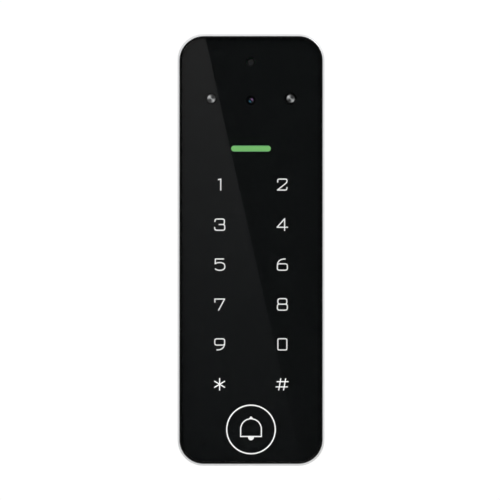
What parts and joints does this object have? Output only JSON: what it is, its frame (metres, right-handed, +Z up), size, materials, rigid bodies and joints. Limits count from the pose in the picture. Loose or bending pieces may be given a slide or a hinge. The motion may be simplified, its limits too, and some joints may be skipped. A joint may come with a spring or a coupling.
{
  "type": "keypad access reader",
  "caption": "Slim wall reader with a black glass front, backlit keypad signs, bell key, status bar and camera in a satin metal housing that lifts off a steel wall plate.",
  "frame": {"origin": "centre of the wall plate's back face, on the wall", "axes": "+X to the right seen from the front, +Y into the wall (the front faces -Y), +Z up"},
  "size_m": [0.059, 0.022, 0.1734],
  "materials": {
    "satin_metal": "satin",
    "black_glass": "polished",
    "black_ink": "printed satin black",
    "adhesive": "matt foam tape",
    "white_diffuser": "translucent, lit from behind",
    "green_diffuser": "translucent green, lit from behind",
    "circuit_board": "solder mask, semi-gloss",
    "led_package": "ceramic white with yellow phosphor",
    "black_plastic": "moulded, fine spark texture",
    "rubber": "matt silicone",
    "copper": "lacquered copper",
    "ferrite": "matt dark grey",
    "clear_lens": "clear moulded",
    "camera_lens": "coated lens with a purple and blue sheen",
    "bright_can": "drawn tin-plated can",
    "steel": "zinc plated",
    "relay_plastic": "moulded",
    "green_plastic": "moulded nylon",
    "woven_mesh": "fine woven acoustic mesh",
    "white_plastic": "moulded acetal"
  },
  "bodies": {
    "wall_bracket": {"wall_plate": "steel"},
    "reader": {"front_housing": "satin_metal", "glass_panel": "black_glass", "print_mask": "black_ink", "glass_adhesive": "adhesive", "keypad_diffuser": "white_diffuser", "light_bar_diffuser": "green_diffuser", "touch_board": "circuit_board", "camera_board": "circuit_board", "main_board": "circuit_board", "radio_module": "circuit_board", "keypad_led_left": "led_package", "keypad_led_right": "led_package", "light_bar_led": "led_package", "camera_module": "black_plastic", "camera_barrel": "black_plastic", "led_cup_left": "black_plastic", "led_cup_right": "black_plastic", "light_sensor": "black_plastic", "camera_connector": "black_plastic", "processor": "black_plastic", "touch_connector": "black_plastic", "speaker": "black_plastic", "rear_cover": "black_plastic", "tamper_switch": "black_plastic", "reset_switch": "black_plastic", "mic_boot": "rubber", "rear_seal": "rubber", "rfid_antenna": "copper", "ferrite_sheet": "ferrite", "white_led_left": "clear_lens", "white_led_right": "clear_lens", "light_pipe": "clear_lens", "camera_lens": "camera_lens", "microphone": "bright_can", "capacitor_left": "bright_can", "capacitor_right": "bright_can", "radio_shield": "bright_can", "camera_spacer_left": "steel", "camera_spacer_right": "steel", "board_screw_1": "steel", "board_screw_2": "steel", "board_screw_3": "steel", "board_screw_4": "steel", "cover_screw_1": "steel", "cover_screw_2": "steel", "cover_screw_3": "steel", "cover_screw_4": "steel", "tamper_spring": "steel", "relay": "relay_plastic", "power_header": "green_plastic", "data_header": "green_plastic", "speaker_mesh": "woven_mesh"},
    "locking_screw": {"security_screw": "steel"},
    "tamper_button": {"tamper_plunger": "white_plastic"},
    "reset_key": {"reset_button": "white_plastic"}
  },
  "joints": [
    {"name": "reader_lift", "type": "slide", "parent": "wall_bracket", "child": "reader", "axis": [0, 0, 1], "range_m": [0, 0.006]},
    {"name": "locking_screw_draw", "type": "slide", "parent": "reader", "child": "locking_screw", "axis": [0, 0, -1], "range_m": [0, 0.0125]},
    {"name": "tamper_press", "type": "slide", "parent": "reader", "child": "tamper_button", "axis": [0, -1, 0], "range_m": [0, 0.0015], "stiffness_N_per_m": 400, "deforming": ["tamper_spring"]},
    {"name": "reset_press", "type": "slide", "parent": "reader", "child": "reset_key", "axis": [-1, 0, 0], "range_m": [0, 0.0003], "stiffness_N_per_m": 2000}
  ]
}
